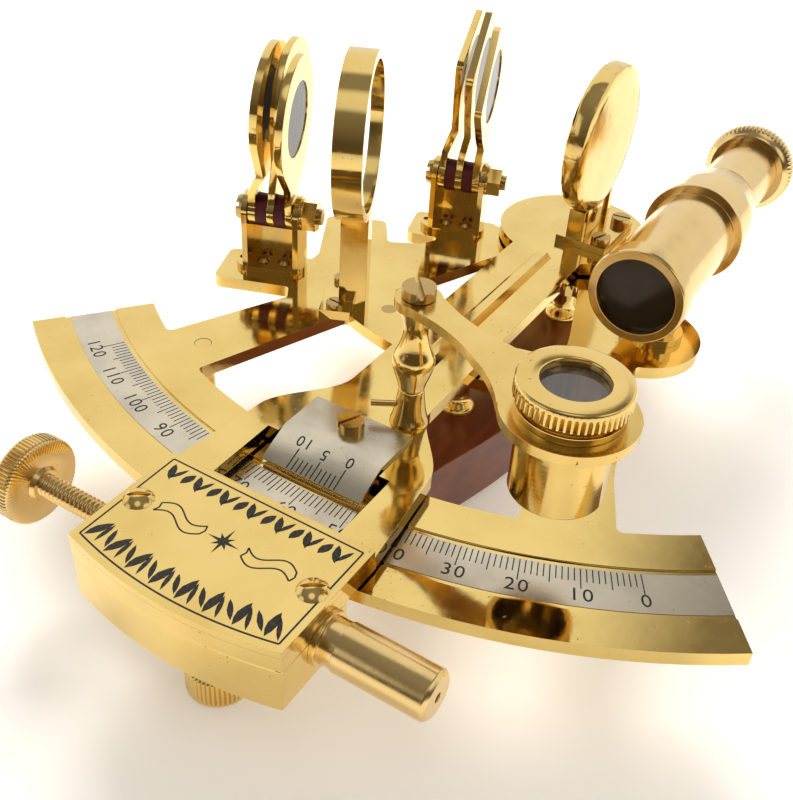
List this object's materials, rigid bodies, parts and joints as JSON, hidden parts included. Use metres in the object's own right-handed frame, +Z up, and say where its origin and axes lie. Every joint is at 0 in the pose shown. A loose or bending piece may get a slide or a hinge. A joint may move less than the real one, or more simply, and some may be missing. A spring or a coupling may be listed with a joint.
{
  "type": "nautical sextant",
  "caption": "Brass sextant with graduated limb, swinging index arm, two mirrors, hinged shade sets, sighting telescope, reading magnifier and a wooden handle under the frame.",
  "frame": {"origin": "centre of the underside of the pivot foot, on the axis of the index arm, at table level", "axes": "+Z up out of the table; +Y from the limb towards the pivot and along the telescope to its eyepiece; +X towards the zero end of the scale"},
  "size_m": [0.1702, 0.2069, 0.0922],
  "materials": {
    "brass": "polished",
    "screw_brass": "polished, darker",
    "silvered": "brushed silvering with black filled engraving",
    "steel": "plain",
    "mirror_glass": "silvered glass",
    "shade_glass": "dark neutral tint",
    "lens_glass": "clear, polished",
    "mahogany": "satin varnish",
    "fibre": "matt"
  },
  "bodies": {
    "frame": {"frame": "brass", "scale_inlay": "silvered", "pivot_bush": "brass", "feet": "brass", "handle": "mahogany", "handle_pillars": "brass", "handle_screws": "screw_brass", "horizon_mirror_frame": "brass", "horizon_glass": "mirror_glass", "frame_screws": "screw_brass", "rivets": "screw_brass", "shade_brackets": "brass", "shade_bolts": "screw_brass", "shade_nuts": "brass", "shade_washers": "fibre", "telescope_post": "brass", "telescope_tube": "brass", "objective_ring": "brass", "objective_lens": "lens_glass"},
    "index_arm": {"index_arm": "brass", "pivot_spindle": "screw_brass", "index_mirror_case": "brass", "index_mirror_glass": "mirror_glass", "index_mirror_bracket": "brass", "mirror_screws": "screw_brass", "vernier_plate": "silvered", "vernier_screw": "brass", "tangent_box": "brass", "cover_plate": "brass", "cover_screws": "brass", "spring_barrel": "brass", "barrel_spring": "steel", "magnifier_post": "brass", "magnifier_post_pin": "brass", "magnifier_pivot_screw": "screw_brass"},
    "clamp_block": {"clamp_block": "screw_brass", "spring_plunger": "steel"},
    "tangent_screw": {"tangent_screw": "brass"},
    "clamp_screw": {"clamp_screw": "brass"},
    "clamp_shoe": {"clamp_shoe": "steel"},
    "magnifier_arm": {"magnifier_arm": "brass", "magnifier_tube": "brass"},
    "magnifier_cap": {"magnifier_cap": "brass", "magnifier_lens": "lens_glass"},
    "draw_tube": {"draw_tube": "brass"},
    "eyepiece_ring": {"eyepiece_ring": "brass", "eye_lens": "lens_glass"},
    "horizon_shade_1": {"horizon_shade_1": "brass", "horizon_shade_1_glass": "shade_glass"},
    "horizon_shade_2": {"horizon_shade_2": "brass", "horizon_shade_2_glass": "shade_glass"},
    "horizon_shade_3": {"horizon_shade_3": "brass", "horizon_shade_3_glass": "shade_glass"},
    "index_shade_1": {"index_shade_1": "brass", "index_shade_1_glass": "shade_glass"},
    "index_shade_2": {"index_shade_2": "brass", "index_shade_2_glass": "shade_glass"},
    "index_shade_3": {"index_shade_3": "brass", "index_shade_3_glass": "shade_glass"}
  },
  "joints": [
    {"name": "index_swing", "type": "hinge", "parent": "frame", "child": "index_arm", "pos_m": [0, 0, 0.03], "axis": [0, 0, 1], "range_deg": [-12, 30]},
    {"name": "tangent_slide", "type": "slide", "parent": "index_arm", "child": "clamp_block", "axis": [1, 0, 0], "range_m": [-0.0025, 0.0025]},
    {"name": "tangent_turn", "type": "hinge", "parent": "clamp_block", "child": "tangent_screw", "pos_m": [-0.03, -0.151, 0.028], "axis": [1, 0, 0], "range_deg": [-850, 850]},
    {"name": "clamp_turn", "type": "hinge", "parent": "clamp_block", "child": "clamp_screw", "pos_m": [0, -0.1525, 0.01], "axis": [0, 0, 1], "range_deg": [0, 90.5]},
    {"name": "clamp_lift", "type": "slide", "parent": "clamp_block", "child": "clamp_shoe", "axis": [0, 0, 1], "range_m": [0, 0.0002]},
    {"name": "magnifier_swing", "type": "hinge", "parent": "index_arm", "child": "magnifier_arm", "pos_m": [0.0077, -0.0995, 0.062], "axis": [0, 0, 1], "range_deg": [-90, 50]},
    {"name": "magnifier_cap_turn", "type": "hinge", "parent": "magnifier_arm", "child": "magnifier_cap", "pos_m": [0.04571, -0.11486, 0.068], "axis": [0, 0, 1], "continuous": true},
    {"name": "draw_slide", "type": "slide", "parent": "frame", "child": "draw_tube", "axis": [0, 1, 0], "range_m": [-0.015, 0.005]},
    {"name": "eyepiece_turn", "type": "hinge", "parent": "draw_tube", "child": "eyepiece_ring", "pos_m": [0.034, 0.038, 0.048], "axis": [0, 1, 0], "continuous": true},
    {"name": "horizon_shade_1_fold", "type": "hinge", "parent": "frame", "child": "horizon_shade_1", "pos_m": [-0.057, -0.061, 0.046], "axis": [0.9336, 0.3584, 0], "range_deg": [-80, 8]},
    {"name": "horizon_shade_2_fold", "type": "hinge", "parent": "frame", "child": "horizon_shade_2", "pos_m": [-0.057, -0.061, 0.046], "axis": [0.9336, 0.3584, 0], "range_deg": [-64, 8]},
    {"name": "horizon_shade_3_fold", "type": "hinge", "parent": "frame", "child": "horizon_shade_3", "pos_m": [-0.057, -0.061, 0.046], "axis": [0.9336, 0.3584, 0], "range_deg": [-93, 8]},
    {"name": "index_shade_1_fold", "type": "hinge", "parent": "frame", "child": "index_shade_1", "pos_m": [-0.03, -0.014, 0.046], "axis": [0.9563, 0.2924, 0], "range_deg": [-60, 8]},
    {"name": "index_shade_2_fold", "type": "hinge", "parent": "frame", "child": "index_shade_2", "pos_m": [-0.03, -0.014, 0.046], "axis": [0.9563, 0.2924, 0], "range_deg": [-72, 8]},
    {"name": "index_shade_3_fold", "type": "hinge", "parent": "frame", "child": "index_shade_3", "pos_m": [-0.03, -0.014, 0.046], "axis": [0.9563, 0.2924, 0], "range_deg": [-90, 8]}
  ],
  "couplings": [
    {"joint": "tangent_turn", "follows": "tangent_slide", "rad_per_m": 5927.5},
    {"joint": "clamp_turn", "follows": "clamp_lift", "rad_per_m": 7854}
  ]
}
